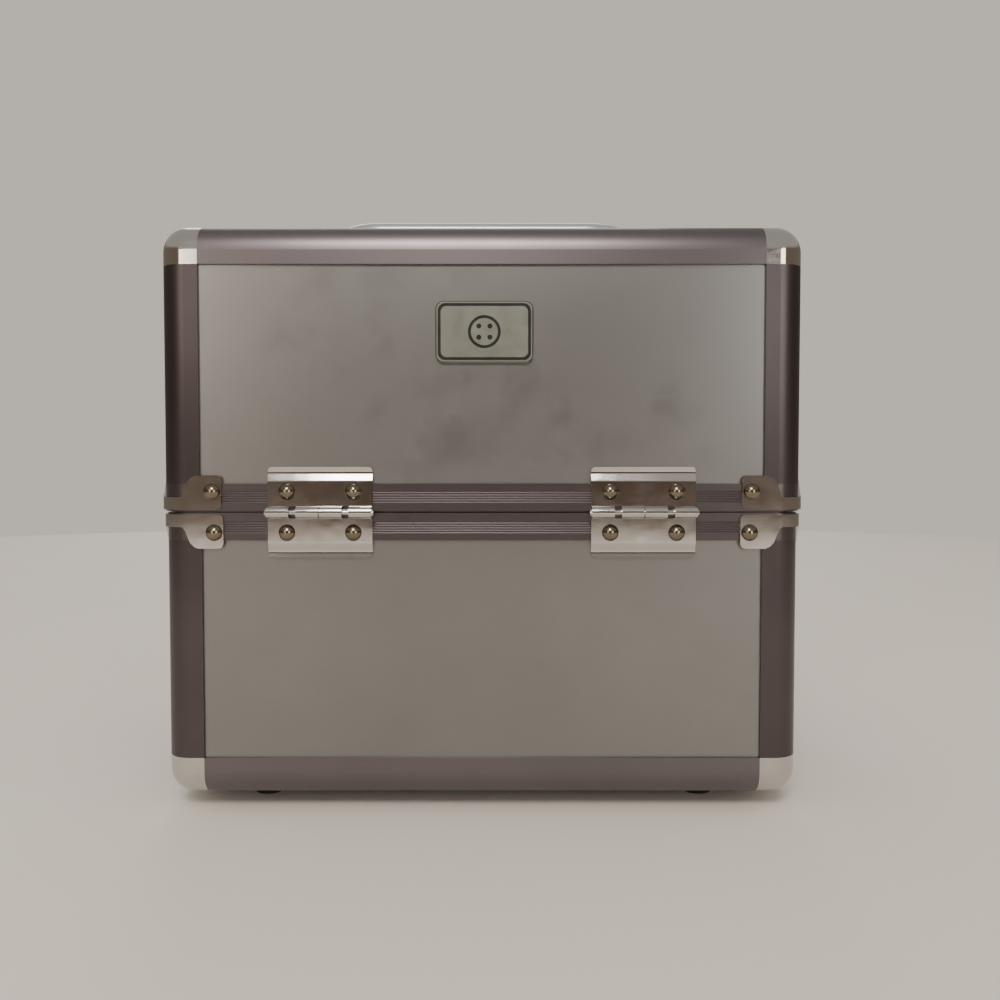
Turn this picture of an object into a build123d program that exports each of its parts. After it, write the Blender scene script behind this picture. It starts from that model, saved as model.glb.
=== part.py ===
"""Small aluminium-framed carrying case for sewing things: a deep base and a deep lid on two rear hinges,
two trays that the lid lifts on arms, a folding handle, and two front locks.

Row frame in millimetres: origin on the ground under the middle of the case, +Z up, the locks face -Y and
the hinges face +Y. The two halves, base and lid, are built the same way: flat panels slide into rounded
edge mouldings.
"""

import math
import os

from build123d import *

# ---------------------------------------------------------------- overall sizes
case_width = 245.6  # across the lid's corner posts
case_depth = 180.0
base_height = 110.0  # from the bottom face up to the parting line
lid_height = 109.1  # from the parting line up to the top face
foot_height = 6.0
side_overhang = 0.7  # the lid is this much wider than the base at each side
parting_gap = 0.6  # daylight between the two rims

# ---------------------------------------------------------------- edge mouldings and panels
leg = 15.4  # face width of a moulding, and of a corner cap
edge_radius = 10.0
skin = 1.2  # wall of a moulding
panel_thickness = 4.0
panel_gap = 0.3  # from a panel's edge to the bottom of its slot
lining_thickness = 1.0
lining_drop = 0.8  # from the rim's mating face to the lining's edge
lip_length = 13.5  # how far a moulding's inner lip reaches from the outer face
bore_place = 4.6  # the bore along a moulding, from each outer face
bore_radius = 1.7
spigot_length = 10.0
spigot_gap = 0.1
wall = 2 * skin + panel_thickness  # outer face to the inner face of a moulding

# ---------------------------------------------------------------- rim mouldings
rim_height = 10.5
rim_floor = 3.4  # solid depth between the mating face and the panel slot
flute_start = 3.2  # first flute's edge, from the mating face
flute_count = 5
flute_pitch = 0.92
flute_depth = 0.3
tongue_from_face = 2.5
tongue_width = 1.4
tongue_height = 1.8
groove_side_gap = 0.9
groove_end_gap = 0.4

# ---------------------------------------------------------------- sheet metal fittings and rivets
plate = 1.0
bracket_reach = 23.9  # along each face from the corner
bracket_lobe = 9.2  # where the lobe begins, from the corner
bracket_slant = 2.9  # the lobe's top edge starts this much further on
bracket_height = 13.0
bracket_band = 4.8  # height of the band that wraps the corner
bracket_edge_gap = 0.6  # from the rim's mating face
bracket_corner = 1.8
bracket_shoulder = 2.2  # cut off the lobe's inner corner
rivet_rise = 7.5  # rivet line, from the mating face
rivet_inset = 20.4  # bracket rivets, from the corner
rivet_head_radius = 3.2
rivet_head_height = 2.1
rivet_radius = 1.55
rivet_hole_gap = 0.05
rivet_grip = skin + panel_thickness - 0.2  # how far a shank goes in behind the face

# ---------------------------------------------------------------- hinges
hinge_x = 61.4
hinge_rivet_spread = 12.6
pin_radius = 1.0
pin_gap = 0.05
pin_head_radius = 1.7
pin_head_length = 0.7
knuckle_radius = 2.4
knuckle_length = 8.5
knuckle_middle_gap = 0.3
knuckle_outer_gap = 2.7
hinge_stand_off = 0.35  # from a knuckle's back to the rim's face
leaf_reach = 17.2
leaf_bend = 11.0  # where the leaf starts down from the rim to the panel
leaf_slope = 3.4
leaf_bend_radius = 2.4
leaf_flare = 0.5
leaf_notch = 2.35
leaf_web = 3.3
leaf_corner = 1.6

# ---------------------------------------------------------------- badge
badge_width = 37.0
badge_height = 23.2
badge_thickness = 1.7
badge_corner = 3.2
badge_bevel = 0.45
badge_rise = 68.2  # centre, above the parting line
badge_shift = 1.0
badge_line_inset = 0.9
badge_line = 1.1
badge_line_depth = 0.35
badge_button_radius = 6.2
badge_hole_radius = 0.95
badge_hole_spread = 2.1

# ---------------------------------------------------------------- handle
handle_half_width = 62.0
handle_reach = 45.0  # from the pivots to the outer edge of the grip
handle_thickness = 10.6
handle_grip_width = 16.0
handle_arm_width = 10.0
handle_corner = 18.0
handle_inner_corner = 8.0
handle_edge = 3.4
handle_under = 0.4  # from the eye to the mount's foot
handle_pin_radius = 2.0
handle_pin_gap = 0.05
ear_thickness = 2.0
ear_gap = 0.5
mount_foot = 1.2
mount_flange = 7.0
mount_half_depth = 7.0
mount_rivet_head = 2.6
mount_rivet_height = 1.1

# ---------------------------------------------------------------- locks
lock_x = hinge_x
lock_width = 30.0
lock_height = 22.0
lock_flange_width = 46.0
lock_flange_height = 10.4
lock_edge_gap = 0.9
lock_front = 4.1  # the lock case's front, from the rim's face
lock_rivet_spread = 18.9
catch_width = 30.0
catch_height = 11.0
catch_edge = 0.7
catch_rivet_spread = 10.0
tongue_stand_off = 0.4
catch_tongue_width = 8.0
catch_tongue_length = 9.0  # below the base's mating face
tongue_gap = 0.5
notch_play = 0.4  # from the thrown bolt to the end of the catch's notch
notch_height = 3.2
bolt_drop = 5.6  # centre, below the base's mating face
bolt_height = 2.6
bolt_length = 9.0
bolt_back = 0.2  # from the rim's face to the back of the bolt
bolt_thickness = 1.6
bolt_travel = 3.0
bolt_gap = 0.1
bolt_clear = 0.35  # from the withdrawn bolt to the tongue
neck_length = 3.0
neck_height = 1.6
button_length = 6.0
button_height = 4.6
button_thickness = 0.95
key_drop = 15.2
key_radius = 3.6
key_gap = 0.05
key_collar = 0.7
key_collar_thickness = 0.8
key_back = -1.0  # the collar's back, from the rim's face outwards
keyway_length = 4.4
keyway_width = 1.0
keyway_depth = 1.2

# ---------------------------------------------------------------- trays and arms
tray_height = 26.0
tray_depth = 150.0
tray_rear_gap = 6.5
tray_wall = 2.0
tray_floor = 2.0
tray_partition = 1.6
tray_corner = 3.0
lower_tray_drop = 12.0  # how far the lower tray reaches below the parting line
tray_stack_gap = 3.0
lid_opening = 95.0  # degrees
upper_link = (-76.0, 28.0)  # lid pivot of the upper tray from the hinge axis, in Y and Z
lower_link = (-46.0, 6.0)
upper_arm_foot = (-60.0, -5.5)  # base pivot of the upper arms from the hinge axis
lower_arm_foot = (-100.0, -12.0)
arm_width = 8.0
arm_thickness = 1.4
arm_gap = 0.2
stud_radius = 1.8
stud_gap = 0.05
stud_head_radius = 3.2
stud_head = 0.6
pivot_plate = 1.0
pivot_plate_margin = 4.6
stop_radius = 2.0
stop_along = 4.5
stop_margin = 0.6

# ---------------------------------------------------------------- feet
foot_radius = 6.5
foot_x = 88.0
foot_y = 62.0
foot_taper = 7.0  # degrees
foot_rivet_radius = 1.5
foot_rivet_head_radius = 2.8
foot_rivet_head = 1.0
foot_recess_radius = 3.3
foot_recess_depth = 2.2

# ---------------------------------------------------------------- places worked out from the sizes
base_width = case_width - 2 * side_overhang
z_bottom = foot_height
z_part = foot_height + base_height
z_top = z_part + lid_height
face_y = case_depth / 2
hinge_axis_out = knuckle_radius + hinge_stand_off
hinge_y = face_y + hinge_axis_out
panel_edge = edge_radius + panel_gap
inside = wall + lining_thickness
liner_x = base_width / 2 - inside  # the narrower half sets the room for the trays
liner_y = face_y - inside
tray_half_width = liner_x - pivot_plate - 3 * arm_gap - 2 * arm_thickness
tray_back_y = liner_y - tray_rear_gap
tray_mid_y = tray_back_y - tray_depth / 2
lower_tray_z = z_part - lower_tray_drop
upper_tray_z = lower_tray_z + tray_height + tray_stack_gap
plate_inner_x = liner_x - pivot_plate
outer_arm_x = plate_inner_x - arm_gap
inner_arm_x = outer_arm_x - arm_thickness - arm_gap
handle_z = z_top - skin + mount_foot + handle_under + handle_thickness / 2
handle_arm_x = handle_half_width - handle_arm_width / 2
mount_rivet_spread = handle_arm_width / 2 + ear_gap + ear_thickness + mount_flange / 2
bolt_start = catch_tongue_width / 2 + bolt_clear
notch_depth = bolt_travel - bolt_clear + notch_play

SIDES = {
    "front": Plane(origin=(0, -face_y, 0), x_dir=(1, 0, 0), z_dir=(0, -1, 0)),
    "rear": Plane(origin=(0, face_y, 0), x_dir=(-1, 0, 0), z_dir=(0, 1, 0)),
    "left": Plane(origin=(0, 0, 0), x_dir=(0, -1, 0), z_dir=(-1, 0, 0)),
    "right": Plane(origin=(0, 0, 0), x_dir=(0, 1, 0), z_dir=(1, 0, 0)),
}

os.makedirs("parts", exist_ok=True)


def save(part, name):
    part.label = name
    export_step(part, f"parts/{name}.step")


class Half:
    """One half of the case: its width, mating face and closed end, and the way from one to the other."""

    def __init__(self, name, width, z_rim, z_end, front_rivets):
        self.name = name
        self.half_width = width / 2
        self.z_rim = z_rim
        self.z_end = z_end
        self.away = 1 if z_end > z_rim else -1
        across = [self.half_width - rivet_inset]
        hinges = [hinge_x - hinge_rivet_spread, hinge_x + hinge_rivet_spread]
        fittings = [lock_x - front_rivets, lock_x + front_rivets]
        self.rivets = {
            "front": both_ways(across + fittings),
            "rear": both_ways(across + hinges),
            "left": both_ways([face_y - rivet_inset]),
            "right": both_ways([face_y - rivet_inset]),
        }

    def rim(self, distance):
        return self.z_rim + self.away * distance

    def end(self, distance):
        return self.z_end - self.away * distance

    def side(self, name):
        """Plane on one outer face: X along it, Y up, Z outwards, with the row's own height as its Y."""
        if name in ("front", "rear"):
            return SIDES[name]
        return SIDES[name].offset(self.half_width)


def both_ways(places):
    return [sign * place for place in places for sign in (-1, 1)]


base = Half("base", base_width, z_part - parting_gap / 2, z_bottom, lock_rivet_spread)
lid = Half("lid", case_width, z_part + parting_gap / 2, z_top, catch_rivet_spread)


# ---------------------------------------------------------------- edge mouldings
def rounded_corner(radius):
    """Quarter round between the two outer faces of a moulding, which lie on the axes."""
    middle = radius * (1 - math.sqrt(0.5))
    ThreePointArc((0, radius), (middle, middle), (radius, 0))


def moulding_section():
    """Rounded corner moulding with a slot for a panel along each leg, solid apart from its bore."""
    slot_far = skin + panel_thickness
    with BuildLine() as outline:
        rounded_corner(edge_radius)
        Polyline(
            (edge_radius, 0),
            (leg, 0),
            (leg, skin),
            (edge_radius, skin),
            (edge_radius, slot_far),
            (lip_length, slot_far),
            (lip_length, wall),
            (wall, wall),
            (wall, lip_length),
            (slot_far, lip_length),
            (slot_far, edge_radius),
            (skin, edge_radius),
            (skin, leg),
            (0, leg),
            (0, edge_radius),
        )
    make_face(outline.edges())
    with Locations((bore_place, bore_place)):
        Circle(bore_radius, mode=Mode.SUBTRACT)


def across(middle, one_way, other_way):
    """Plane across a moulding: its X and Y point inwards from the two faces that meet at the edge."""
    return Plane(origin=middle, x_dir=one_way, z_dir=Vector(*one_way).cross(Vector(*other_way)))


def make_posts(half):
    """The four upright mouldings, from the rim to the corner caps."""
    length = abs(half.z_end - half.z_rim) - leg - rim_height
    middle = half.rim(rim_height + length / 2)
    with BuildPart() as posts:
        with BuildSketch(across((half.half_width, face_y, middle), (-1, 0, 0), (0, -1, 0))):
            moulding_section()
        extrude(amount=length / 2, both=True)
        mirror(about=Plane.YZ)
        mirror(about=Plane.XZ)
    save(posts.part, f"{half.name}_corner_posts")


def make_edges(half):
    """The four mouldings round the closed end, between the corner caps."""
    inwards = (0, 0, -half.away)
    with BuildPart() as edges:
        with BuildSketch(across((0, face_y, half.z_end), (0, -1, 0), inwards)):
            moulding_section()
        extrude(amount=half.half_width - leg, both=True)
        mirror(about=Plane.XZ)
        for sign in (-1, 1):
            with BuildSketch(across((sign * half.half_width, 0, half.z_end), (-sign, 0, 0), inwards)):
                moulding_section()
            extrude(amount=face_y - leg, both=True)
    save(edges.part, f"{half.name}_edge_mouldings")


def make_caps(half):
    """Die-cast corner caps: a ball corner, three panel slots and a spigot up the bore of each moulding."""
    low = (half.half_width - leg, face_y - leg, min(half.z_end, half.end(leg)))
    place = Pos(low[0] + leg / 2, low[1] + leg / 2, low[2] + leg / 2)
    out = (1, 1, half.away)
    with BuildPart() as caps:
        with Locations(place):
            Box(leg, leg, leg)
        tip = Vector(half.half_width, face_y, half.z_end)
        at_tip = [e for e in caps.edges() if min((e @ 0 - tip).length, (e @ 1 - tip).length) < 0.01]
        fillet(at_tip, edge_radius)
        with Locations(place * Pos(*(-wall * way for way in out))):
            Box(leg, leg, leg, mode=Mode.SUBTRACT)
        depth = skin + panel_thickness / 2
        for axis in range(3):
            shift = [-edge_radius * way for way in out]
            shift[axis] = (leg / 2 - depth) * out[axis]
            size = [leg] * 3
            size[axis] = panel_thickness
            with Locations(place * Pos(*shift)):
                Box(*size, mode=Mode.SUBTRACT)
        for axis in range(3):
            start = [(leg / 2 - bore_place) * way for way in out]
            start[axis] = -(leg / 2 + spigot_length / 2 - spigot_length / 4) * out[axis]
            turn = ((0, 90, 0), (90, 0, 0), (0, 0, 0))[axis]
            with Locations(place * Pos(*start) * Rot(*turn)):
                Cylinder(bore_radius - spigot_gap, 1.5 * spigot_length)
        mirror(about=Plane.YZ)
        mirror(about=Plane.XZ)
    save(caps.part, f"{half.name}_corner_caps")


# ---------------------------------------------------------------- rims
def ring(half, inner, outer, near, far, mode):
    """A band round the case between two insets from the outside and two distances from the mating face."""
    with BuildSketch(Plane.XY.offset(min(half.rim(near), half.rim(far)))) as flat:
        RectangleRounded(2 * (half.half_width - outer), 2 * (face_y - outer), max(edge_radius - outer, 0.6))
        RectangleRounded(
            2 * (half.half_width - inner),
            2 * (face_y - inner),
            max(edge_radius - inner, 0.6),
            mode=Mode.SUBTRACT,
        )
    extrude(flat.sketch, amount=abs(far - near), mode=mode)


def rim_wedge(half, side):
    """The share of the rim that belongs to one side, cut at 45 degrees through the corners."""
    beyond = 5.0
    within = 20.0
    out_x, out_y = half.half_width + beyond, face_y + beyond
    in_x, in_y = half.half_width - within, face_y - within
    if side in ("front", "rear"):
        sign = 1 if side == "rear" else -1
        return [(-out_x, sign * out_y), (out_x, sign * out_y), (in_x, sign * in_y), (-in_x, sign * in_y)]
    sign = 1 if side == "right" else -1
    return [(sign * out_x, -out_y), (sign * out_x, out_y), (sign * in_x, in_y), (sign * in_x, -in_y)]


def make_rim(half, side):
    """One side of a rim: fluted outside, with a slot for the panel, and mating by a tongue or a groove."""
    with BuildPart() as rim:
        ring(half, wall, 0, 0, rim_height, Mode.ADD)
        ring(half, skin + panel_thickness, skin, rim_floor, rim_height, Mode.SUBTRACT)
        cut_flutes(half, side)
        if half is base:
            ring(base, tongue_from_face + tongue_width, tongue_from_face, -tongue_height, 0, Mode.ADD)
        else:
            inner = tongue_from_face + tongue_width + groove_side_gap
            outer = tongue_from_face - groove_side_gap
            depth = tongue_height + groove_end_gap
            groove_ring(inner, outer, depth)
        with BuildSketch(Plane.XY.offset(half.z_rim - 2 * rim_height)):
            with BuildLine():
                Polyline(*rim_wedge(half, side), close=True)
            make_face()
        extrude(amount=4 * rim_height, mode=Mode.INTERSECT)
        drill_rivets(half, side)
    save(rim.part, f"{half.name}_rim_{side}")


def cut_flutes(half, side):
    """V-shaped flutes along the straight part of one side's outer face."""
    face = half.side(side)
    length = (half.half_width if side in ("front", "rear") else face_y) - edge_radius
    section = Plane(origin=face.origin, x_dir=face.z_dir, z_dir=face.x_dir)
    up = 1 if section.y_dir.Z > 0 else -1
    with BuildSketch(section) as flat:
        for i in range(flute_count):
            start = flute_start + i * flute_pitch
            rises = (start, start + flute_pitch / 2, start + flute_pitch)
            low, middle, high = (up * half.rim(rise) for rise in rises)
            with BuildLine() as outline:
                Polyline((0, low), (-flute_depth, middle), (0, high), close=True)
            make_face(outline.edges())
    extrude(flat.sketch, amount=length, both=True, mode=Mode.SUBTRACT)


def groove_ring(inner, outer, depth):
    """The lid's groove follows the base's tongue, so it is laid out from the base's own faces."""
    with BuildSketch(Plane.XY.offset(lid.z_rim)) as flat:
        RectangleRounded(base_width - 2 * outer, case_depth - 2 * outer, edge_radius - outer)
        RectangleRounded(
            base_width - 2 * inner,
            case_depth - 2 * inner,
            edge_radius - inner,
            mode=Mode.SUBTRACT,
        )
    extrude(flat.sketch, amount=depth, mode=Mode.SUBTRACT)


def drill_rivets(half, side):
    """Rivet holes through one side, along its rivet line."""
    with BuildSketch(half.side(side).offset(2 * plate)) as flat:
        with Locations(*((along, half.rim(rivet_rise)) for along in half.rivets[side])):
            Circle(rivet_radius + rivet_hole_gap)
    extrude(flat.sketch, amount=-(2 * plate + rivet_grip + 0.1), mode=Mode.SUBTRACT)


# ---------------------------------------------------------------- panels and linings
def make_wall_panel(half, side):
    """Flat wall panel, from the slot in the rim to the slot in the edge moulding."""
    half_length = (half.half_width if side in ("front", "rear") else face_y) - panel_edge
    near = half.rim(rim_floor + panel_gap)
    far = half.end(panel_edge)
    with BuildPart() as panel:
        with BuildSketch(half.side(side).offset(-skin)):
            with Locations((0, (near + far) / 2)):
                Rectangle(2 * half_length, abs(far - near))
        extrude(amount=-panel_thickness)
        drill_rivets(half, side)
    save(panel.part, f"{half.name}_panel_{side}")


def make_end_panel(half, name):
    """The bottom of the base or the top of the lid, with its rivet holes."""
    spots = foot_spots() if half is base else mount_rivet_spots()
    radius = (foot_rivet_radius if half is base else rivet_radius) + rivet_hole_gap
    with BuildPart() as panel:
        with BuildSketch(Plane.XY.offset(min(half.end(skin), half.end(skin + panel_thickness)))):
            Rectangle(2 * (half.half_width - panel_edge), 2 * (face_y - panel_edge))
            with Locations(*spots):
                Circle(radius, mode=Mode.SUBTRACT)
        extrude(amount=panel_thickness)
    save(panel.part, f"{half.name}_panel_{name}")


def make_lining(half):
    """Fabric-covered card lining: an open box glued inside the half."""
    depth = abs(half.z_end - half.z_rim) - wall - lining_drop
    low = min(half.end(wall), half.rim(lining_drop))
    floor = lining_thickness * half.away
    with BuildPart() as lining:
        with BuildSketch(Plane.XY.offset(low)):
            RectangleRounded(2 * (half.half_width - wall), 2 * (face_y - wall), edge_radius - wall)
        extrude(amount=depth)
        with BuildSketch(Plane.XY.offset(low - floor)):
            RectangleRounded(2 * (half.half_width - inside), 2 * (face_y - inside), edge_radius - inside)
        extrude(amount=depth, mode=Mode.SUBTRACT)
    save(lining.part, f"{half.name}_lining")


# ---------------------------------------------------------------- rim brackets and rivets
def lobe_outline(half, half_length, sign):
    """A bracket's riveted lobe as seen on a face, with rounded outer corners and a slanted inner one."""
    low, high = bracket_edge_gap, bracket_edge_gap + bracket_height
    cut = bracket_corner
    soft = 0.3 * cut
    slanted = 1 - bracket_shoulder / (bracket_height - bracket_band - plate)
    places = [
        (bracket_lobe - plate, low),
        (bracket_reach - cut, low),
        (bracket_reach - soft, low + soft),
        (bracket_reach, low + cut),
        (bracket_reach, high - cut),
        (bracket_reach - soft, high - soft),
        (bracket_reach - cut, high),
        (bracket_lobe + bracket_slant + bracket_shoulder, high),
        (bracket_lobe + bracket_slant + 0.3 * bracket_shoulder, high - 0.3 * bracket_shoulder),
        (bracket_lobe + slanted * bracket_slant, high - bracket_shoulder),
        (bracket_lobe, low + bracket_band + plate),
        (bracket_lobe - plate, low + bracket_band),
    ]
    with BuildLine() as outline:
        Polyline(*((sign * (half_length - inset), half.rim(rise)) for inset, rise in places), close=True)
    make_face(outline.edges())


def make_brackets(half):
    """Plates bent round the four corners of a rim: a narrow band, and a lobe with a rivet on each face."""
    with BuildPart() as brackets:
        ring(half, 0, -plate, bracket_edge_gap, bracket_edge_gap + bracket_band, Mode.ADD)
        with BuildSketch(Plane.XY.offset(half.z_rim - bracket_height)):
            with Locations(*((x * half.half_width, y * face_y) for x in (-1, 1) for y in (-1, 1))):
                Rectangle(2 * bracket_lobe, 2 * bracket_lobe)
        extrude(amount=2 * bracket_height, mode=Mode.INTERSECT)
        for side in SIDES:
            half_length = half.half_width if side in ("front", "rear") else face_y
            with BuildSketch(half.side(side)):
                for sign in (-1, 1):
                    lobe_outline(half, half_length, sign)
            extrude(amount=plate)
            drill_rivets(half, side)
    save(brackets.part, f"{half.name}_rim_brackets")


def rivet(radius, head_radius, head_height, length):
    """Domed rivet standing on the origin, its shank going down."""
    dome_radius = (head_radius**2 + head_height**2) / (2 * head_height)
    slant = math.asin(head_radius / dome_radius) / 2
    top = head_height - dome_radius
    with BuildPart() as one:
        with BuildSketch(Plane.XZ):
            with BuildLine():
                ThreePointArc(
                    (0, head_height),
                    (dome_radius * math.sin(slant), top + dome_radius * math.cos(slant)),
                    (head_radius, 0),
                )
                Polyline((head_radius, 0), (radius, 0), (radius, -length), (0, -length), (0, head_height))
            make_face()
        revolve(axis=Axis.Z)
    return one.part


def make_rivets(half):
    """All the domed rivets on the four sides of one half."""
    one = rivet(rivet_radius, rivet_head_radius, rivet_head_height, plate + rivet_grip)
    with BuildPart() as rivets:
        for side, places in half.rivets.items():
            face = half.side(side).offset(plate)
            with Locations(*(face.location * Pos(along, half.rim(rivet_rise)) for along in places)):
                add(one)
    save(rivets.part, f"{half.name}_rivets")


# ---------------------------------------------------------------- hinges
def knuckle_spans():
    """Where the four knuckles lie along a hinge; the lid's leaf has the first and third."""
    middle = knuckle_middle_gap / 2
    inner_end = middle + knuckle_length
    outer = inner_end + knuckle_outer_gap
    return [
        (-outer - knuckle_length, -outer),
        (-inner_end, -middle),
        (middle, inner_end),
        (outer, outer + knuckle_length),
    ]


def leaf_section(half):
    """Section of a leaf in Y and Z: flat on the rim, curving in to the panel, then flaring at its tip."""
    bend = half.away * (leaf_bend + parting_gap / 2)
    down = bend + half.away * leaf_slope
    tip = half.away * leaf_reach
    lift = half.away * 0.4 * plate
    near = -hinge_axis_out
    with BuildLine() as outline:
        Polyline(
            (near, half.away * leaf_notch),
            (near + plate, half.away * leaf_notch),
            (near + plate, bend + lift),
            (near + plate - skin, down + lift),
            (near + plate - skin + leaf_flare, tip),
            (near - skin + leaf_flare, tip),
            (near - skin, down),
            (near, bend),
            close=True,
        )
    make_face(outline.edges())


def make_leaf(half, name, x):
    """Stamped hinge leaf with two rolled knuckles, drilled for its rivets."""
    spans = knuckle_spans()
    own = (spans[0], spans[2]) if half is lid else (spans[1], spans[3])
    bore = pin_radius + (pin_gap if half is lid else 0)
    width = spans[3][1] - spans[0][0]
    section = Plane(origin=(x, hinge_y, z_part), x_dir=(0, 1, 0), z_dir=(1, 0, 0))
    back = hinge_stand_off - hinge_axis_out
    with BuildPart() as leaf:
        with BuildSketch(section) as flat:
            leaf_section(half)
            bends = [v for v in flat.vertices() if abs(v.Y) > leaf_bend and abs(v.Y) < leaf_reach - 0.1]
            fillet(bends, leaf_bend_radius)
        extrude(amount=width / 2, both=True)
        tips = leaf.edges().filter_by(Axis.Y).group_by(Axis.Z)[-1 if half is lid else 0]
        fillet(tips, leaf_corner)
        for start, stop in own:
            with BuildSketch(section.offset(start)):
                Circle(knuckle_radius)
                with Locations((back + plate / 2, half.away * leaf_web / 2)):
                    Rectangle(plate, leaf_web)
                Circle(bore, mode=Mode.SUBTRACT)
            extrude(amount=stop - start)
        drill_rivets(half, "rear")
    save(leaf.part, f"hinge_leaf_{half.name}_{name}")


def make_pins():
    """Hinge pins, headed at both ends and held by the base's knuckles."""
    reach = knuckle_spans()[3][1]
    with BuildPart() as pins:
        for x in (-hinge_x, hinge_x):
            with BuildSketch(Plane(origin=(x, hinge_y, z_part), x_dir=(0, 1, 0), z_dir=(1, 0, 0))):
                Circle(pin_radius)
            extrude(amount=reach, both=True)
            for sign in (-1, 1):
                origin = (x + sign * reach, hinge_y, z_part)
                end = Plane(origin=origin, x_dir=(0, sign, 0), z_dir=(sign, 0, 0))
                with BuildSketch(end):
                    Circle(pin_head_radius)
                extrude(amount=pin_head_length, taper=20)
    save(pins.part, "hinge_pins")


# ---------------------------------------------------------------- badge
def make_badge():
    """Bevelled plate on the rear panel with an engraved outline and a sewing button."""
    face = lid.side("rear").offset(-skin)
    centre = (badge_shift, z_part + badge_rise)
    with BuildPart() as badge:
        with BuildSketch(face):
            with Locations(centre):
                RectangleRounded(badge_width, badge_height, badge_corner)
        extrude(amount=badge_thickness)
        chamfer(badge.faces().sort_by(Axis.Y)[-1].edges(), badge_bevel)
        with BuildSketch(face.offset(badge_thickness - badge_line_depth)):
            with Locations(centre):
                outer_inset = badge_line_inset
                inner_inset = badge_line_inset + badge_line
                for inset, mode in ((outer_inset, Mode.ADD), (inner_inset, Mode.SUBTRACT)):
                    RectangleRounded(
                        badge_width - 2 * inset,
                        badge_height - 2 * inset,
                        badge_corner - inset / 2,
                        mode=mode,
                    )
                Circle(badge_button_radius)
                Circle(badge_button_radius - badge_line, mode=Mode.SUBTRACT)
                with GridLocations(2 * badge_hole_spread, 2 * badge_hole_spread, 2, 2):
                    Circle(badge_hole_radius)
        extrude(amount=badge_line_depth, mode=Mode.SUBTRACT)
    save(badge.part, "badge")


# ---------------------------------------------------------------- handle
def mount_rivet_spots():
    arms = both_ways([handle_arm_x])
    return [(x + along, 0) for x in arms for along in both_ways([mount_rivet_spread])]


def make_handle():
    """Moulded D-shaped handle with an eye at the end of each arm; it folds flat to the rear or the front."""
    inner_width = 2 * (handle_half_width - handle_arm_width)
    inner_reach = handle_reach - handle_grip_width
    half_thick = handle_thickness / 2
    with BuildPart() as handle:
        with BuildSketch(Plane.XY.offset(handle_z - half_thick)):
            with BuildLine():
                Polyline(
                    (-handle_half_width, 0),
                    (-handle_half_width, handle_reach),
                    (handle_half_width, handle_reach),
                    (handle_half_width, 0),
                    (-handle_half_width, 0),
                )
            make_face()
            with Locations((0, inner_reach / 2)):
                Rectangle(inner_width, inner_reach, mode=Mode.SUBTRACT)
        extrude(amount=handle_thickness)
        uprights = handle.edges().filter_by(Axis.Z).group_by(Axis.Y)
        fillet(uprights[-1], handle_corner)
        inner_uprights = handle.edges().filter_by(Axis.Z).filter_by(lambda e: near_y(e, inner_reach))
        fillet(inner_uprights, handle_inner_corner)
        fillet(handle.edges().filter_by(lambda e: is_long_edge(e)), handle_edge)
        for sign in (-1, 1):
            arm = Plane(origin=(sign * handle_arm_x, 0, handle_z), x_dir=(0, 1, 0), z_dir=(1, 0, 0))
            with BuildSketch(arm):
                Circle(half_thick)
            extrude(amount=handle_arm_width / 2, both=True)
            with BuildSketch(arm):
                Circle(handle_pin_radius + handle_pin_gap)
            extrude(amount=handle_arm_width, both=True, mode=Mode.SUBTRACT)
    save(handle.part, "handle")


def near_y(edge, y):
    return abs(edge.center().Y - y) < 0.1


def is_long_edge(edge):
    """Edges of the handle's upper and lower faces, away from the flat ends of its arms."""
    flat = abs(edge.tangent_at(0.5).Z) < 0.01
    return flat and edge.center().Y > 0.5


def make_mount(name, sign):
    """Handle mount: a riveted foot and two ears with a pin through them."""
    x = sign * handle_arm_x
    foot_z = z_top - skin
    half_gap = handle_arm_width / 2 + ear_gap
    half_foot = half_gap + ear_thickness + mount_flange
    ear_height = handle_z - foot_z
    ear_radius = handle_thickness / 2 - 0.4
    section = Plane(origin=(x, 0, foot_z), x_dir=(0, 1, 0), z_dir=(1, 0, 0))
    with BuildPart() as mount:
        with BuildSketch(Plane.XY.offset(foot_z)):
            with Locations((x, 0)):
                RectangleRounded(2 * half_foot, 2 * mount_half_depth, 3.0)
        extrude(amount=mount_foot)
        for side in (-1, 1):
            start = half_gap if side > 0 else -half_gap - ear_thickness
            with BuildSketch(section.offset(start)):
                with Locations((0, ear_height)):
                    Circle(ear_radius)
                with Locations((0, ear_height / 2)):
                    Rectangle(2 * ear_radius, ear_height)
            extrude(amount=ear_thickness)
        with BuildSketch(section):
            with Locations((0, ear_height)):
                Circle(handle_pin_radius)
        extrude(amount=half_gap + ear_thickness + 0.4, both=True)
        with BuildSketch(Plane.XY.offset(foot_z)):
            with Locations(*((x + along, 0) for along in both_ways([mount_rivet_spread]))):
                Circle(rivet_radius + rivet_hole_gap)
        extrude(amount=mount_foot, mode=Mode.SUBTRACT)
    save(mount.part, f"handle_mount_{name}")


def make_mount_rivets():
    """Low-headed rivets that hold the handle mounts to the lid's top panel."""
    one = rivet(rivet_radius, mount_rivet_head, mount_rivet_height, mount_foot + panel_thickness - 0.2)
    with BuildPart() as rivets:
        with Locations(*((x, y, z_top - skin + mount_foot) for x, y in mount_rivet_spots())):
            add(one)
    save(rivets.part, "handle_rivets")


# ---------------------------------------------------------------- locks
def lock_plane(sign, out):
    """Front face seen from the front, with its origin at a lock's middle on the base's mating face."""
    return Plane(origin=(sign * lock_x, -face_y - out, base.z_rim), x_dir=(1, 0, 0), z_dir=(0, -1, 0))


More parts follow.
